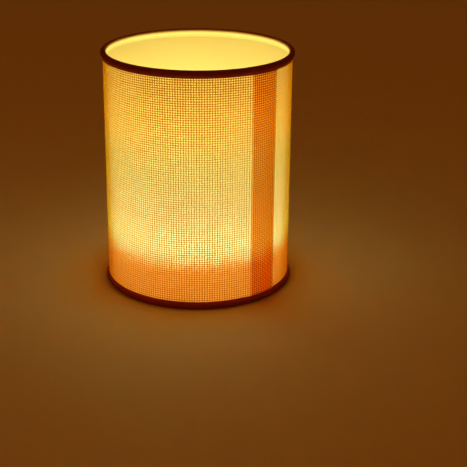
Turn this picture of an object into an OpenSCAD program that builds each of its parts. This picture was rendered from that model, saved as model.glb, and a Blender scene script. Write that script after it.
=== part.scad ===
// Hardback drum lamp shade. Its wall is a woven cover on a stiff liner, rolled once round and
// lapped. A wire ring in rolled woven edging stiffens each end, and a three-arm spider at the
// lower ring carries the fitter ring that drops over a lampholder.
// Frame: millimetres, +Z up along the drum's axis, origin on the axis at the foot of the lower rim.
// The front is -Y and the right is +X.

/* [Drum] */
// Outside diameter over the rolled rims
rim_diameter = 160; // [120:1:320]
// Overall height, from the foot of the lower rim to the crest of the upper rim
shade_height = 200; // [100:1:400]

/* [Wall] */
// Thickness of the woven cover
cover_thickness = 0.6; // [0.4:0.05:1]
// Thickness of the stiff liner sheet
liner_thickness = 0.4; // [0.3:0.05:0.8]
// Thickness of the double-sided tape in the lap
lap_tape_thickness = 0.15; // [0.1:0.05:0.3]
// Width of the lap, measured along the wall
lap_width = 25; // [12:1:40]
// How far the lap tape stays back from both edges of the lap
lap_tape_margin = 1.5; // [0.5:0.5:4]
// Length along the wall over which the outer end climbs onto the inner end
lap_climb = 8; // [5:1:15]
// Where the lap's hidden edge lies, in degrees from the front towards the right
lap_angle = 34; // [0:1:359]

/* [Rims] */
// Diameter of the ring wire
ring_wire = 3.5; // [2:0.5:6]
// Thickness of the edging rolled round the ring wire
edging_thickness = 0.75; // [0.3:0.05:1]
// How far the edging reaches onto the wall past the rolled rim
edging_reach = 1.5; // [1:0.5:6]

/* [Fitter] */
// Bore of the fitter ring, which passes over a lampholder's threaded skirt
fitter_bore = 42; // [27:0.5:46]
// Width of the fitter ring's flange, from its bore to its skirt's outside
fitter_flange = 8; // [5:0.5:12]
// Sheet thickness of the fitter ring
fitter_sheet = 1.5; // [1:0.1:2]
// Depth of the fitter ring's stiffening skirt, flange included
fitter_skirt = 4; // [3.5:0.5:8]
// Height of the fitter ring's upper face above the foot of the lower rim
fitter_height = 28; // [18:1:60]

/* [Spider] */
// Diameter of the spider arm wire
arm_wire = 3; // [2:0.5:3.5]
// Length of each arm's straight run at its two ends, up to the bend's corner
arm_straight = 7; // [5:1:12]
// Radius of the arm's two bends, at the middle of its wire
arm_bend = 6; // [4:1:8]
// Direction of the first arm, in degrees from the front towards the right
arm_angle = 180; // [0:1:359]
// Gap between an arm and the slit in the edging that it passes through
slit_gap = 0.2; // [0.1:0.05:0.5]

/* [Hidden] */
$fn = 128;
arm_count = 3;

// How far an end tucks into what it joins, and how much thinner it is there on each side
tuck = 0.3;
tuck_inset = 0.02;

// The rolled rims and the wall between them
rim_r = ring_wire / 2 + edging_thickness;
ring_r = rim_diameter / 2 - rim_r;
lower_ring_z = rim_r;
upper_ring_z = shade_height - rim_r;
wall_thickness = liner_thickness + cover_thickness;
liner_r = ring_r - wall_thickness / 2;
cover_r = liner_r + liner_thickness;
wall_r = cover_r + cover_thickness;
wall_foot = 2 * rim_r;
wall_top = shade_height - 2 * rim_r;

// The lap: the outer end lies on the inner end with the tape between them
lap_step = wall_thickness + lap_tape_thickness;
lap_turn = arc_degrees(lap_width);
climb_turn = arc_degrees(lap_climb);
climb_steps = 8;
tuck_turn = arc_degrees(tuck);
tape_margin_turn = arc_degrees(lap_tape_margin);

// The turn that the edging's thickness takes at each end of the lap
leg_turn = arc_degrees(edging_thickness);

// The fitter ring and the spider arms
fitter_bore_r = fitter_bore / 2;
fitter_r = fitter_bore_r + fitter_flange;
fitter_foot = fitter_height - fitter_skirt;
arm_inner = [fitter_r - fitter_sheet / 2, fitter_height - fitter_skirt / 2];
arm_outer = [ring_r, lower_ring_z];
arm_corner_1 = [fitter_r + arm_straight, arm_inner[1]];
arm_corner_2 = [ring_r - ring_wire / 2 - arm_straight, arm_outer[1]];
arm_dip = atan2(arm_inner[1] - arm_outer[1], arm_corner_2[0] - arm_corner_1[0]);
arm_slope = [cos(arm_dip), -sin(arm_dip)];
arm_tangent = arm_bend * tan(arm_dip / 2);

// Turn, in degrees, that a length along the wall takes
function arc_degrees(length) = length / wall_r * 180 / PI;

// Point at a radius, at an angle counted from the front towards the right
function at_angle(radius, angle) = [radius * sin(angle), -radius * cos(angle)];

// How far the climbing end has risen, as a share of its height, at a share of its length
function climb_share(u) = (1 - cos(180 * u)) / 2;

// Line across the climb at one radius, which tucks into the bands at both its ends
function climb_line(radius) = concat(
    [at_angle(radius, lap_angle - climb_turn - tuck_turn)],
    [for (i = [0:climb_steps])
        at_angle(radius + lap_step * climb_share(i / climb_steps),
                 lap_angle - climb_turn * (1 - i / climb_steps))],
    [at_angle(radius + lap_step, lap_angle + tuck_turn)]
);

function reversed(list) = [for (i = [len(list) - 1:-1:0]) list[i]];

// Part of a round band of rectangular section, from one angle to another, counted from the front
module band(inner, thickness, foot, top, from, to) {
    rotate([0, 0, from - 90])
        rotate_extrude(angle = to - from)
            translate([inner, foot])
                square([thickness, top - foot]);
}

// Sheet that goes once round and ends on top of its own start
module lapped_sheet(inner, thickness) {
    union() {
        band(inner, thickness, wall_foot, wall_top, lap_angle, lap_angle + 360 - climb_turn);
        translate([0, 0, wall_foot])
            linear_extrude(height = wall_top - wall_foot)
                polygon(concat(climb_line(inner + tuck_inset),
                               reversed(climb_line(inner + thickness - tuck_inset))));
        band(inner + lap_step, thickness, wall_foot, wall_top, lap_angle, lap_angle + lap_turn);
    }
}

// Tape between the lap's two layers
module lap_tape_strip() {
    band(wall_r, lap_tape_thickness, wall_foot, wall_top,
         lap_angle + tape_margin_turn, lap_angle + lap_turn - tape_margin_turn);
}

// Ring of round section about the axis at a height
module ring(diameter, height) {
    translate([0, 0, height])
        rotate_extrude()
            translate([ring_r, 0])
                circle(d = diameter);
}

// Edging rolled round a ring wire, with a leg on each side of the wall. Its outer leg steps out over
// the lap, and its slot widens there by as much. The legs and the slot are given as [foot, top].
module edging_shape(ring_z, leg, slot) {
    difference() {
        union() {
            ring(2 * rim_r, ring_z);
            translate([0, 0, leg[0]])
                rotate_extrude()
                    translate([liner_r - edging_thickness, 0])
                        square([wall_thickness + 2 * edging_thickness, leg[1] - leg[0]]);
            band(ring_r, wall_r + lap_step + edging_thickness - ring_r, leg[0], leg[1],
                 lap_angle - climb_turn - leg_turn, lap_angle + lap_turn + leg_turn);
        }
        ring(ring_wire, ring_z);
        translate([0, 0, slot[0]])
            rotate_extrude()
                translate([liner_r, 0])
                    square([wall_thickness, slot[1] - slot[0]]);
        band(ring_r, wall_r + lap_step - ring_r, slot[0], slot[1],
             lap_angle - climb_turn, lap_angle + lap_turn);
    }
}

// Straight length of wire in the XZ plane, from a point along a direction that dips below +X
module wire_run(diameter, start, dip, length) {
    translate([start[0], 0, start[1]])
        rotate([0, 90 + dip, 0])
            cylinder(d = diameter, h = length);
}

// Bend of wire in the XZ plane, about a centre, from one angle above +X to another. It is a hair
// thicker than the straight runs, so that they tuck into it.
module wire_bend(diameter, centre, from, to) {
    translate([centre[0], 0, centre[1]])
        rotate([90, 0, 0])
            rotate([0, 0, from])
                rotate_extrude(angle = to - from)
                    translate([arm_bend, 0])
                        circle(d = diameter + 2 * tuck_inset);
}

// Bent arm wire along +X, from the fitter ring's skirt out to the lower ring's middle
module arm_shape(diameter) {
    slope_start = arm_corner_1 + (arm_tangent - tuck) * arm_slope;
    slope_end = arm_corner_2 - (arm_tangent - tuck) * arm_slope;
    outer_start = [arm_corner_2[0] + arm_tangent - tuck, arm_outer[1]];
    union() {
        wire_run(diameter, arm_inner, 0, arm_corner_1[0] - arm_tangent + tuck - arm_inner[0]);
        wire_bend(diameter, arm_corner_1 - [arm_tangent, arm_bend], 90 - arm_dip, 90);
        wire_run(diameter, slope_start, arm_dip, norm(slope_end - slope_start));
        wire_bend(diameter, arm_corner_2 + [arm_tangent, arm_bend], 270 - arm_dip, 270);
        wire_run(diameter, outer_start, 0, arm_outer[0] - outer_start[0]);
    }
}

// Puts its children in the direction of an arm, counted from 1
module at_arm(number) {
    rotate([0, 0, arm_angle - 90 + (number - 1) * 360 / arm_count])
        children();
}

// Disc about the axis, from the fitter ring's foot up
module fitter_disc(radius, height) {
    translate([0, 0, fitter_foot])
        cylinder(r = radius, h = height);
}

module cover() {
    color("burlywood")
        lapped_sheet(cover_r, cover_thickness);
}

module liner() {
    color("ivory")
        lapped_sheet(liner_r, liner_thickness);
}

module lap_tape() {
    color("white")
        lap_tape_strip();
}

module upper_ring() {
    color("gainsboro")
        ring(ring_wire, upper_ring_z);
}

module lower_ring() {
    color("gainsboro")
        ring(ring_wire, lower_ring_z);
}

module upper_edging() {
    color("saddlebrown")
        edging_shape(upper_ring_z, [wall_top - edging_reach, upper_ring_z],
                     [wall_top - 2 * edging_reach, wall_top]);
}

module lower_edging() {
    color("saddlebrown")
        difference() {
            edging_shape(lower_ring_z, [lower_ring_z, wall_foot + edging_reach],
                         [wall_foot, wall_foot + 2 * edging_reach]);
            for (number = [1:arm_count])
                at_arm(number)
                    arm_shape(arm_wire + 2 * slit_gap);
        }
}

module fitter_ring() {
    color("white")
        difference() {
            fitter_disc(fitter_r, fitter_skirt);
            translate([0, 0, -tuck])
                fitter_disc(fitter_bore_r, fitter_skirt + 2 * tuck);
            translate([0, 0, -tuck])
                fitter_disc(fitter_r - fitter_sheet, fitter_skirt - fitter_sheet + tuck);
        }
}

module spider_arm(number) {
    color("white")
        difference() {
            at_arm(number)
                arm_shape(arm_wire);
            fitter_disc(fitter_r, fitter_skirt);
            ring(ring_wire, lower_ring_z);
        }
}

cover();
liner();
lap_tape();
upper_ring();
lower_ring();
upper_edging();
lower_edging();
fitter_ring();
spider_arm(1);  // spider_arm_1
spider_arm(2);  // spider_arm_2
spider_arm(3);  // spider_arm_3
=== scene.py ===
# Drum lamp shade: woven cover on a translucent liner, rolled rims, spider and fitter ring
import math
import random

import bpy
from mathutils import Matrix, Vector, noise


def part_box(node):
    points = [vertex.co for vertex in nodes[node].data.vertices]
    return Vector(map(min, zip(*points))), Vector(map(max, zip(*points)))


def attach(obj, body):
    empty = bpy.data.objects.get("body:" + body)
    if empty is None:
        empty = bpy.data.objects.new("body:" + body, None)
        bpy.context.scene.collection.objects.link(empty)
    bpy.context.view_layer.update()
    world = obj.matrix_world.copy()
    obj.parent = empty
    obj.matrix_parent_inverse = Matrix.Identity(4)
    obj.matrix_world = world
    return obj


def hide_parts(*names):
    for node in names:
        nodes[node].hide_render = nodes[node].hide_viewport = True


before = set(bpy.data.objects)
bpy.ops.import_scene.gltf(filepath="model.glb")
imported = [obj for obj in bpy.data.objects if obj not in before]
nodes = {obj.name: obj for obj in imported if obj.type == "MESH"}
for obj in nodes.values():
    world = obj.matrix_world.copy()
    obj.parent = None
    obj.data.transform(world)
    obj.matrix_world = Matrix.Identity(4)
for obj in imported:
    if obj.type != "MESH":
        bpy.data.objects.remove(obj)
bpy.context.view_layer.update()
mm = 0.001
print("frame loaded,", len(nodes), "nodes")


# places taken from the frame
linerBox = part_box("liner")
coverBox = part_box("cover")
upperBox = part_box("upper_edging")
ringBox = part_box("lower_ring")

wallFoot = coverBox[0].z
wallTop = coverBox[1].z
linerOuter = linerBox[1].x
coverOuter = coverBox[1].x
rimRadius = (ringBox[0].z + ringBox[1].z) / 2  # the roll rests on the floor
ringRadius = upperBox[1].x - rimRadius
shadeHeight = upperBox[1].z

lap = {
    "start": 33.0,  # degrees from the front towards the right, to the hidden edge
    "width": 26 * mm,
    "climb": 8 * mm,
    "step": 1.15 * mm,  # how far the outer end rides above the inner end
}
lapTurn = math.degrees(lap["width"] / coverOuter)
climbTurn = math.degrees(lap["climb"] / coverOuter)
sheetTurn = 360 + lapTurn


def polar(angle, radius, z):
    a = math.radians(angle)
    return (radius * math.sin(a), -radius * math.cos(a), z)


def lapRise(turn):
    # turn runs along the sheet from its hidden edge, in degrees
    share = (turn - 360 + climbTurn) / climbTurn
    share = min(max(share, 0), 1)
    return lap["step"] * (1 - math.cos(math.pi * share)) / 2


def meshObject(name, points, faces, materials, smooth=True):
    mesh = bpy.data.meshes.new(name)
    mesh.from_pydata(points, [], faces)
    mesh.update()
    if smooth:
        mesh.polygons.foreach_set("use_smooth", [True] * len(mesh.polygons))
    for material in materials:
        mesh.materials.append(material)
    piece = bpy.data.objects.new(name, mesh)
    bpy.context.scene.collection.objects.link(piece)
    return piece


def pointValues(piece, name, values):
    attribute = piece.data.attributes.new(name, "FLOAT", "POINT")
    attribute.data.foreach_set("value", values)


def newMaterial(name):
    material = bpy.data.materials.new(name)
    material.use_nodes = True
    material.node_tree.nodes.clear()
    return material, material.node_tree.nodes, material.node_tree.links


def shaderOut(nodeSet, links, shader):
    out = nodeSet.new("ShaderNodeOutputMaterial")
    links.new(shader, out.inputs["Surface"])


def mathNode(nodeSet, links, operation, first, second=None, clamp=False):
    node = nodeSet.new("ShaderNodeMath")
    node.operation = operation
    node.use_clamp = clamp
    for socket, value in zip(node.inputs, (first, second)):
        if value is None:
            continue
        if isinstance(value, (int, float)):
            socket.default_value = value
        else:
            links.new(value, socket)
    return node.outputs[0]


def mixColour(nodeSet, links, share, first, second):
    node = nodeSet.new("ShaderNodeMix")
    node.data_type = "RGBA"
    for socket, value in ((node.inputs[0], share), (node.inputs[6], first), (node.inputs[7], second)):
        if isinstance(value, bpy.types.NodeSocket):
            links.new(value, socket)
        elif isinstance(value, (int, float)):
            socket.default_value = value
        else:
            socket.default_value = (*value, 1)
    return node.outputs[2]


def noiseValue(nodeSet, links, scale, detail):
    place = nodeSet.new("ShaderNodeTexCoord")
    node = nodeSet.new("ShaderNodeTexNoise")
    node.inputs["Scale"].default_value = scale
    node.inputs["Detail"].default_value = detail
    links.new(place.outputs["Object"], node.inputs["Vector"])
    return node.outputs["Fac"]


def attributeValue(nodeSet, name):
    node = nodeSet.new("ShaderNodeAttribute")
    node.attribute_name = name
    return node.outputs["Fac"]


def bumpNormal(nodeSet, links, height, strength, distance):
    node = nodeSet.new("ShaderNodeBump")
    node.inputs["Strength"].default_value = strength
    node.inputs["Distance"].default_value = distance
    links.new(height, node.inputs["Height"])
    return node.outputs["Normal"]


# woven cover
cover = {
    "warpPitch": 2.08 * mm,  # upright yarns
    "weftPitch": 1.88 * mm,  # yarns that go round
    "warpHalf": 0.46 * mm,
    "weftHalf": 0.50 * mm,
    "rise": 0.23 * mm,  # how far a yarn goes over and under
    "crown": 0.20 * mm,
    "droop": 0.13 * mm,  # how far a yarn's two edges hang below its middle line
    "unevenWidth": 0.12,
    "wander": 0.05 * mm,
    "fray": 0.9 * mm,
    "linen": (0.76, 0.46, 0.14),
    "linenDark": (0.62, 0.34, 0.09),
    "glow": (0.97, 0.50, 0.05),
    "glowDark": (0.90, 0.42, 0.035),
    "crossing": (0.56, 0.33, 0.028),  # darker where another yarn crosses it: painted shade of the crossing yarn, partly the yarn pressed denser
    "lapShadedGlow": (1.0, 0.425, 0.026),  # deeper colour on the lap's yarns: painted shade of the doubled layer
    # near-black crossings on the lap: painted shade of the doubled layer
    "lapShadedCrossing": (0.08, 0.012, 0.003),
    "lapUnderShadeShare": 0.0,  # share of the crossings' painted shade in the lap's hidden layer
    "letsThrough": 0.75,
    "gluedLetsThrough": 0.96,
    "fibreScale": (90.0, 3.5, 0.8),  # per yarn, across it, along it
    "fibreDetail": 3.0,
    "fibreWeight": 1.6,
    "cloudScale": 60,
    "cloudDetail": 3,
    "toneBase": 1.3,
    "crossingShadeReach": 0.36,  # share of the yarn spacing, from the crossing outwards
    "crossingShadeSharpness": 6.0,
    "twistAlong": 7.0,
    "twistAcross": 2.2,
    "twistStrength": 0.35,
    "twistDepth": 0.08 * mm,
    "roughness": 0.88,
    "sheen": 0.15,
    "toneRange": (0.3, 0.7),
    "seed": 11,
}


def yarnMaterial():
    material, nodeSet, links = newMaterial("wovenYarn")
    tone = attributeValue(nodeSet, "yarnTone")
    across = attributeValue(nodeSet, "yarnAcross")
    along = attributeValue(nodeSet, "yarnAlong")
    place = nodeSet.new("ShaderNodeCombineXYZ")
    for value, scale, axis in zip((tone, across, along), cover["fibreScale"], "XYZ"):
        links.new(mathNode(nodeSet, links, "MULTIPLY", value, scale), place.inputs[axis])
    streak = nodeSet.new("ShaderNodeTexNoise")
    streak.inputs["Scale"].default_value = 1.0
    streak.inputs["Detail"].default_value = cover["fibreDetail"]
    links.new(place.outputs[0], streak.inputs["Vector"])
    fibre = mathNode(nodeSet, links, "MULTIPLY", streak.outputs["Fac"], cover["fibreWeight"])
    share = mathNode(nodeSet, links, "ADD", tone, fibre)
    cloudy = noiseValue(nodeSet, links, cover["cloudScale"], cover["cloudDetail"])
    share = mathNode(nodeSet, links, "ADD", share, cloudy)
    share = mathNode(nodeSet, links, "SUBTRACT", share, cover["toneBase"], clamp=True)
    linen = mixColour(nodeSet, links, share, cover["linenDark"], cover["linen"])
    glowing = mixColour(nodeSet, links, share, cover["glowDark"], cover["glow"])
    # crossings are painted darker: painted shade of the crossing yarn, partly the yarn pressed denser
    # there
    crossingShade = mathNode(nodeSet, links, "PINGPONG", along, 0.5)  # 0 at a crossing, 0.5 between two
    crossingShade = mathNode(nodeSet, links, "SUBTRACT", cover["crossingShadeReach"], crossingShade)
    crossingShade = mathNode(nodeSet, links, "MULTIPLY", crossingShade, cover["crossingShadeSharpness"], clamp=True)
    crossingShade = mathNode(nodeSet, links, "MULTIPLY", crossingShade, attributeValue(nodeSet, "crossingShadeShare"))
    # the lap's yarns get a deeper colour and near-black crossings, painted shade of the doubled layer;
    # the same mask also lets more light through where glue soaks them
    glued = attributeValue(nodeSet, "glued")
    glowing = mixColour(nodeSet, links, glued, glowing, cover["lapShadedGlow"])
    shadedCrossingColour = mixColour(nodeSet, links, glued, cover["crossing"], cover["lapShadedCrossing"])
    glowing = mixColour(nodeSet, links, crossingShade, glowing, shadedCrossingColour)
    twist = mathNode(nodeSet, links, "MULTIPLY", along, cover["twistAlong"])
    slant = mathNode(nodeSet, links, "MULTIPLY", across, cover["twistAcross"])
    twist = mathNode(nodeSet, links, "ADD", twist, slant)
    twist = mathNode(nodeSet, links, "SINE", twist)
    normal = bumpNormal(nodeSet, links, twist, cover["twistStrength"], cover["twistDepth"])
    body = nodeSet.new("ShaderNodeBsdfPrincipled")
    body.inputs["Roughness"].default_value = cover["roughness"]
    body.inputs["Sheen Weight"].default_value = cover["sheen"]
    links.new(linen, body.inputs["Base Color"])
    links.new(normal, body.inputs["Normal"])
    glow = nodeSet.new("ShaderNodeBsdfTranslucent")
    links.new(glowing, glow.inputs["Color"])
    links.new(normal, glow.inputs["Normal"])
    mix = nodeSet.new("ShaderNodeMixShader")
    more = mathNode(nodeSet, links, "MULTIPLY", glued, cover["gluedLetsThrough"] - cover["letsThrough"])
    links.new(mathNode(nodeSet, links, "ADD", more, cover["letsThrough"]), mix.inputs[0])
    links.new(body.outputs[0], mix.inputs[1])
    links.new(glow.outputs[0], mix.inputs[2])
    shaderOut(nodeSet, links, mix.outputs[0])
    return material


def makeCover():
    draw = random.Random(cover["seed"])
    middle = (linerOuter + coverOuter) / 2
    height = wallTop - wallFoot
    length = math.radians(sheetTurn) * middle
    warpCount = round(length / cover["warpPitch"])
    weftCount = round(height / cover["weftPitch"])
    warpTurns = [(i + 0.5) * sheetTurn / warpCount for i in range(warpCount)]
    weftHeights = [wallFoot + (j + 0.5) * height / weftCount for j in range(weftCount)]
    degreesPer = math.degrees(1 / middle)
    points, faces, tones, across, along, glued, crossingShadeShare = [], [], [], [], [], [], []

    def strip(rows, tone):
        # rows of three points, each (turn, radius, z), from one end of a yarn to the other
        first = len(points)
        for n, row in enumerate(rows):
            for k, (turn, radius, z) in enumerate(row):
                points.append(polar(lap["start"] + turn, radius, z))
                tones.append(tone)
                # marks the lap's yarns: the glue's extra see-through and the painted shade of the
                # doubled layer
                glued.append(1.0 if turn < lapTurn or turn > 360 else 0.0)
                # share of the crossings' painted shade, cut in the lap's hidden layer
                crossingShadeShare.append(cover["lapUnderShadeShare"] if turn < lapTurn else 1.0)
                across.append(k - 1)
                along.append(n)
        for n in range(len(rows) - 1):
            for k in (0, 1):
                a = first + 3 * n + k
                yield a, a + 1, a + 4, a + 3

    def uneven(yarn, place, kind):
        return noise.noise(Vector((yarn * 5.37, place * 0.43, kind)))

    for i, turn in enumerate(warpTurns):
        rows = []
        for j, z in enumerate(weftHeights):
            side = 1 if (i + j) % 2 else -1
            half = cover["warpHalf"] * (1 + cover["unevenWidth"] * uneven(i, j, 1.5) * 2)
            shift = cover["wander"] * uneven(i, j, 4.5) * 2
            z = wallFoot if j == 0 else wallTop if j == weftCount - 1 else z
            row = []
            for k in (-1, 0, 1):
                at = turn + (shift + k * half) * degreesPer
                lift = side * cover["rise"] + (cover["crown"] if k == 0 else -cover["droop"])
                row.append((at, middle + lapRise(at) + lift, z))
            rows.append(row)
        faces.extend(strip(rows, draw.uniform(*cover["toneRange"])))
    for j, z in enumerate(weftHeights):
        rows = []
        startSpare = draw.uniform(0.1, 1) * cover["fray"] * degreesPer
        endSpare = draw.uniform(0.1, 1) * cover["fray"] * degreesPer
        for i, turn in enumerate(warpTurns):
            side = -1 if (i + j) % 2 else 1
            half = cover["weftHalf"] * (1 + cover["unevenWidth"] * uneven(j, i, 7.5) * 2)
            shift = cover["wander"] * uneven(j, i, 9.5) * 2
            if i == 0:
                turn -= startSpare
            if i == warpCount - 1:
                turn += endSpare
            row = []
            for k in (-1, 0, 1):
                lift = side * cover["rise"] + (cover["crown"] if k == 0 else -cover["droop"])
                row.append((turn, middle + lapRise(turn) + lift, z + shift + k * half))
            rows.append(row)
        faces.extend((a, d, c, b) for a, b, c, d in strip(rows, draw.uniform(*cover["toneRange"])))
    piece = meshObject("cover_weave", points, faces, [yarnMaterial()])
    pointValues(piece, "yarnTone", tones)
    pointValues(piece, "yarnAcross", across)
    pointValues(piece, "yarnAlong", along)
    pointValues(piece, "glued", glued)
    pointValues(piece, "crossingShadeShare", crossingShadeShare)
    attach(piece, "root")
    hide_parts("cover")
    print("cover woven,", warpCount, "by", weftCount, "yarns,", len(faces), "faces")


# liner
liner = {
    "rows": 12,
    "stepTurn": 1.5,  # degrees between the upright rows of points
    "thickness": 0.4 * mm,
    "colour": (0.93, 0.87, 0.62),
    "cloud": (0.88, 0.81, 0.54),
    "letsThrough": 0.58,
    "gluedClear": 0.94,  # glue soaks the outer end and clears it
    "gluedTinge": (1.0, 0.93, 0.66),
    "cloudScale": 35,
    "cloudDetail": 4,
    "grainScale": 1400,
    "grainDetail": 2,
    "grainStrength": 0.25,
    "grainDepth": 0.05 * mm,
    "roughness": 0.6,
}


def linerMaterial():
    material, nodeSet, links = newMaterial("linerSheet")
    cloudy = noiseValue(nodeSet, links, liner["cloudScale"], liner["cloudDetail"])
    colour = mixColour(nodeSet, links, cloudy, liner["cloud"], liner["colour"])
    grain = noiseValue(nodeSet, links, liner["grainScale"], liner["grainDetail"])
    grain = bumpNormal(nodeSet, links, grain, liner["grainStrength"], liner["grainDepth"])
    body = nodeSet.new("ShaderNodeBsdfPrincipled")
    body.inputs["Roughness"].default_value = liner["roughness"]
    links.new(colour, body.inputs["Base Color"])
    links.new(grain, body.inputs["Normal"])
    glow = nodeSet.new("ShaderNodeBsdfTranslucent")
    links.new(colour, glow.inputs["Color"])
    mix = nodeSet.new("ShaderNodeMixShader")
    mix.inputs[0].default_value = liner["letsThrough"]
    links.new(body.outputs[0], mix.inputs[1])
    links.new(glow.outputs[0], mix.inputs[2])
    shaderOut(nodeSet, links, mix.outputs[0])
    return material


# a sheet that is nearly clear, for the liner's glued end and the tape
clearSheet = {
    "cloudScale": 70,
    "cloudDetail": 3,
    "roughness": 0.45,
}


def clearMaterial(name, clear, tinge, colour, cloud):
    material, nodeSet, links = newMaterial(name)
    cloudy = noiseValue(nodeSet, links, clearSheet["cloudScale"], clearSheet["cloudDetail"])
    tint = mixColour(nodeSet, links, cloudy, cloud, colour)
    body = nodeSet.new("ShaderNodeBsdfPrincipled")
    body.inputs["Roughness"].default_value = clearSheet["roughness"]
    links.new(tint, body.inputs["Base Color"])
    through = nodeSet.new("ShaderNodeBsdfTransparent")
    through.inputs["Color"].default_value = (*tinge, 1)
    mix = nodeSet.new("ShaderNodeMixShader")
    mix.inputs[0].default_value = clear
    links.new(body.outputs[0], mix.inputs[1])
    links.new(through.outputs[0], mix.inputs[2])
    shaderOut(nodeSet, links, mix.outputs[0])
    return material


def makeLinerPart(name, turns, material):
    middle = linerOuter - liner["thickness"] / 2
    count = round((turns[1] - turns[0]) / liner["stepTurn"])
    points, faces = [], []
    for n in range(count + 1):
        turn = turns[0] + (turns[1] - turns[0]) * n / count
        for m in range(liner["rows"] + 1):
            z = wallFoot + (wallTop - wallFoot) * m / liner["rows"]
            points.append(polar(lap["start"] + turn, middle + lapRise(turn), z))
    across = liner["rows"] + 1
    for n in range(count):
        for m in range(liner["rows"]):
            a = n * across + m
            faces.append((a, a + across, a + across + 1, a + 1))
    piece = meshObject(name, points, faces, [material])
    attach(piece, "root")
    return piece


def makeLiner():
    sheet = makeLinerPart("liner_sheet", (0, 360), linerMaterial())
    glued = clearMaterial("gluedLiner", liner["gluedClear"], liner["gluedTinge"],
                          liner["colour"], liner["cloud"])
    makeLinerPart("liner_glued_end", (360, sheetTurn), glued)
    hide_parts("liner")
    print("liner made")


# rolled edging
edging = {
    "ribs": 240,
    "samplesPerRib": 3,
    "ribHeight": 0.07 * mm,
    "legDrop": 4.0 * mm,  # from the roll's middle to the leg's end
    "legOut": 1.25 * mm,
    # outer colours: painted shade on the roll's outside, where the lamp inside doesn't reach
    "shadedOuterFabric": (0.21, 0.024, 0.007),
    "shadedOuterWarm": (0.32, 0.042, 0.012),
    # pale inner colour: painted light where the lamp inside falls on the roll
    "litInnerFabric": (0.66, 0.55, 0.36),
    # painted shade turns to painted light between these turns, where the lamp's light starts to reach
    # the roll
    "turnsLitAt": (128, 164),  # degrees round the roll, from straight out over the crest
    "glow": (0.80, 0.10, 0.015),
    "letsThrough": 0.30,
    "cloudScale": 220,
    "cloudDetail": 3,
    "roughness": 0.8,
    "sheen": 0.1,
    "arc": (-48, 229, 12),  # degrees round the roll: from, to, step
    "lapShare": 0.8,  # share of the lap's step that the leg follows
}


def edgingMaterial():
    material, nodeSet, links = newMaterial("rolledEdging")
    cloudy = noiseValue(nodeSet, links, edging["cloudScale"], edging["cloudDetail"])
    outer = mixColour(nodeSet, links, cloudy, edging["shadedOuterFabric"], edging["shadedOuterWarm"])
    # this share blends the painted shade of the outside into the painted light of the inside
    inside = attributeValue(nodeSet, "paintedLitShare")
    colour = mixColour(nodeSet, links, inside, outer, edging["litInnerFabric"])
    body = nodeSet.new("ShaderNodeBsdfPrincipled")
    body.inputs["Roughness"].default_value = edging["roughness"]
    body.inputs["Sheen Weight"].default_value = edging["sheen"]
    links.new(colour, body.inputs["Base Color"])
    glow = nodeSet.new("ShaderNodeBsdfTranslucent")
    glowing = mixColour(nodeSet, links, inside, edging["glow"], edging["litInnerFabric"])
    links.new(glowing, glow.inputs["Color"])
    mix = nodeSet.new("ShaderNodeMixShader")
    mix.inputs[0].default_value = edging["letsThrough"]
    links.new(body.outputs[0], mix.inputs[1])
    links.new(glow.outputs[0], mix.inputs[2])
    shaderOut(nodeSet, links, mix.outputs[0])
    return material


def edgingProfile():
    # (out, up, share of painted light) about the roll's middle, from the outer leg over the crest to the
    # inner leg
    drop, out = edging["legDrop"], edging["legOut"]
    paintedShade, paintedLight = edging["turnsLitAt"]
    leg = [(0.45 * out, -drop), (0.9 * out, -0.99 * drop), (out, -0.92 * drop),
           (1.03 * out, -0.8 * drop), (1.12 * out, -0.68 * drop)]
    arc = []
    for turn in range(*edging["arc"]):
        a = math.radians(turn)
        # share of painted light round the roll, growing where the lamp's light starts to fall on it
        share = min(max((turn - paintedShade) / (paintedLight - paintedShade), 0), 1)
        arc.append((rimRadius * math.cos(a), rimRadius * math.sin(a), share))
    outerLeg = [(x, y, 0) for x, y in leg]
    innerLeg = [(-x, y, 1) for x, y in reversed(leg)]
    return outerLeg + arc + innerLeg


def makeEdging(name, node, middleZ, up, material):
    profile = edgingProfile()
    count = edging["ribs"] * edging["samplesPerRib"]
    points, faces, inner = [], [], []
    for n in range(count):
        angle = 360 * n / count
        turn = (angle - lap["start"]) % 360
        rise = lap["step"] if turn < lapTurn + 0.4 else lapRise(turn)
        rib = math.sin(math.tau * n / edging["samplesPerRib"])
        for m, (out, height, paintedLight) in enumerate(profile):
            weave = edging["ribHeight"] * (rib * (1 if m % 2 else -1) - 1)
            reach = math.hypot(out, height)
            grow = (reach + weave) / reach
            stepOut = rise if out > 0 and height < -0.6 * rimRadius else 0
            radius = ringRadius + out * grow + stepOut * edging["lapShare"]
            points.append(polar(angle, radius, middleZ + up * height * grow))
            inner.append(paintedLight)
    across = len(profile)
    for n in range(count):
        for m in range(across - 1):
            a = n * across + m
            b = (n + 1) % count * across + m
            quad = (a, b, b + 1, a + 1)
            faces.append(quad if up > 0 else quad[::-1])
    piece = meshObject(name, points, faces, [material])
    pointValues(piece, "paintedLitShare", inner)
    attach(piece, "root")
    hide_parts(node)
    width = sum(math.dist(a[:2], b[:2]) for a, b in zip(profile, profile[1:]))


# coated metal of the spider and the fitter ring
metal = {
    "coat": (0.86, 0.85, 0.82),
    "coatDull": (0.76, 0.75, 0.71),
    "roughness": 0.42,
    "cloudScale": 90,
    "cloudDetail": 3,
    "grainScale": 900,
    "grainDetail": 2,
    "grainStrength": 0.2,
    "grainDepth": 0.05 * mm,
}

# tape in the lap
tape = {
    "clear": 0.94,
    "tinge": (1.0, 0.92, 0.62),
    "colour": (0.93, 0.88, 0.76),
    "cloud": (0.86, 0.80, 0.66),
}


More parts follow.
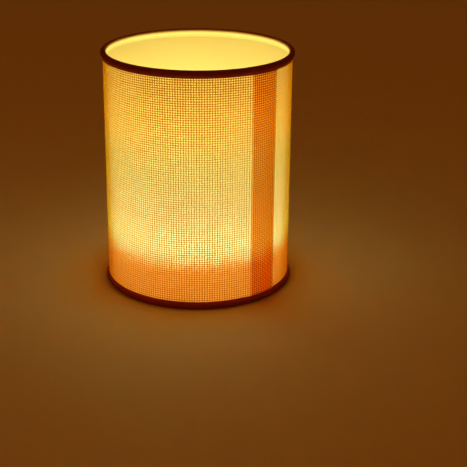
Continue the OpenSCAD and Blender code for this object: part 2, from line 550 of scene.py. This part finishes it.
def coatedMetal():
    material, nodeSet, links = newMaterial("powderCoat")
    cloudy = noiseValue(nodeSet, links, metal["cloudScale"], metal["cloudDetail"])
    colour = mixColour(nodeSet, links, cloudy, metal["coatDull"], metal["coat"])
    grain = noiseValue(nodeSet, links, metal["grainScale"], metal["grainDetail"])
    normal = bumpNormal(nodeSet, links, grain, metal["grainStrength"], metal["grainDepth"])
    body = nodeSet.new("ShaderNodeBsdfPrincipled")
    body.inputs["Roughness"].default_value = metal["roughness"]
    links.new(colour, body.inputs["Base Color"])
    links.new(normal, body.inputs["Normal"])
    shaderOut(nodeSet, links, body.outputs[0])
    return material


def dress(nodeName, material):
    mesh = nodes[nodeName].data
    mesh.materials.clear()
    mesh.materials.append(material)


# light inside, soft studio light, floor and camera
bulb = {
    "low": {"height": 31.3 * mm, "power": 0.61, "blend": 0.26, "size": 8 * mm,
            "colour": (0.04, 1.0, 0.88)},
    "middle": {"height": 75 * mm, "power": 0.55, "blend": 1.0, "size": 12 * mm,
               "colour": (0.46, 1.0, 0.27)},
    "high": {"height": 110 * mm, "power": 0.88, "blend": 1.0, "size": 15 * mm,
             "colour": (1.0, 0.52, 0.004)},
    "fill": {"height": 60 * mm, "power": 0.38, "size": 15 * mm,
             "colour": (1.0, 0.33, 0.0)},
}
studio = {
    "worldColour": (1.0, 0.26, 0.02),
    "worldStrength": 0.12,
    "panelPower": 2.2,
    "panelSize": 1.6,
    "floorColour": (0.80, 0.74, 0.66),
    "floorRoughness": 0.7,
    "floorSize": 12.0,
    "panelPlace": (-0.9, -1.1, 1.6),
    "panelAim": (0, 0, 0.1),
}
view = {
    "back": 984.5 * mm,
    "height": 422.0 * mm,
    "down": 21.387,
    "right": 1.782,
    "roll": 0.487,
    "lens": 93.67,
}


def addLamp(name, settings):
    kind = "SPOT" if "blend" in settings else "POINT"
    lamp = bpy.data.lights.new(name, kind)
    lamp.energy = settings["power"]
    lamp.color = settings["colour"]
    lamp.shadow_soft_size = settings["size"]
    holder = bpy.data.objects.new(name, lamp)
    holder.location = (0, 0, settings["height"])
    if kind == "SPOT":
        lamp.spot_size = math.pi
        lamp.spot_blend = settings["blend"]
        holder.rotation_euler = (math.pi, 0, 0)  # shines upwards
    holder.visible_camera = False
    bpy.context.scene.collection.objects.link(holder)


def addBulb():
    for part, settings in bulb.items():
        addLamp("bulb_" + part, settings)


def addStudio():
    world = bpy.data.worlds.new("studio")
    world.use_nodes = True
    sky = world.node_tree.nodes["Background"]
    sky.inputs["Color"].default_value = (*studio["worldColour"], 1)
    sky.inputs["Strength"].default_value = studio["worldStrength"]
    bpy.context.scene.world = world
    panel = bpy.data.lights.new("panel", "AREA")
    panel.energy = studio["panelPower"]
    panel.size = studio["panelSize"]
    panel.color = studio["worldColour"]
    holder = bpy.data.objects.new("panel", panel)
    holder.location = studio["panelPlace"]
    aim = Vector(studio["panelAim"]) - holder.location
    holder.rotation_euler = aim.to_track_quat("-Z", "Y").to_euler()
    bpy.context.scene.collection.objects.link(holder)
    half = studio["floorSize"] / 2
    material, nodeSet, links = newMaterial("paleFloor")
    body = nodeSet.new("ShaderNodeBsdfPrincipled")
    body.inputs["Base Color"].default_value = (*studio["floorColour"], 1)
    body.inputs["Roughness"].default_value = studio["floorRoughness"]
    shaderOut(nodeSet, links, body.outputs[0])
    corners = [(-half, -half, 0), (half, -half, 0), (half, half, 0), (-half, half, 0)]
    floor = meshObject("floor", corners, [(0, 1, 2, 3)], [material], smooth=False)


def addCamera():
    down, right, roll = (math.radians(view[k]) for k in ("down", "right", "roll"))
    ahead = Vector((math.sin(right) * math.cos(down), math.cos(right) * math.cos(down), -math.sin(down)))
    side = ahead.cross(Vector((0, 0, 1))).normalized()
    above = side.cross(ahead)
    turnedSide = side * math.cos(roll) + above * math.sin(roll)
    turnedAbove = above * math.cos(roll) - side * math.sin(roll)
    camera = bpy.data.cameras.new("camera")
    camera.lens = view["lens"]
    holder = bpy.data.objects.new("camera", camera)
    axes = Matrix((turnedSide, turnedAbove, -ahead)).transposed()
    holder.matrix_world = Matrix.Translation((0, -view["back"], view["height"])) @ axes.to_4x4()
    bpy.context.scene.collection.objects.link(holder)
    bpy.context.scene.camera = holder


addCamera()
addStudio()
addBulb()
bpy.context.scene.view_settings.view_transform = "Standard"

makeLiner()
makeCover()
edgingFabric = edgingMaterial()
makeEdging("upper_roll", "upper_edging", shadeHeight - rimRadius, 1, edgingFabric)
makeEdging("lower_roll", "lower_edging", rimRadius, -1, edgingFabric)
print("edging made")

coat = coatedMetal()
for name in ("upper_ring", "lower_ring", "fitter_ring", "spider_arm_1", "spider_arm_2", "spider_arm_3"):
    dress(name, coat)
lapTape = clearMaterial("lapTape", tape["clear"], tape["tinge"], tape["colour"], tape["cloud"])
dress("lap_tape", lapTape)
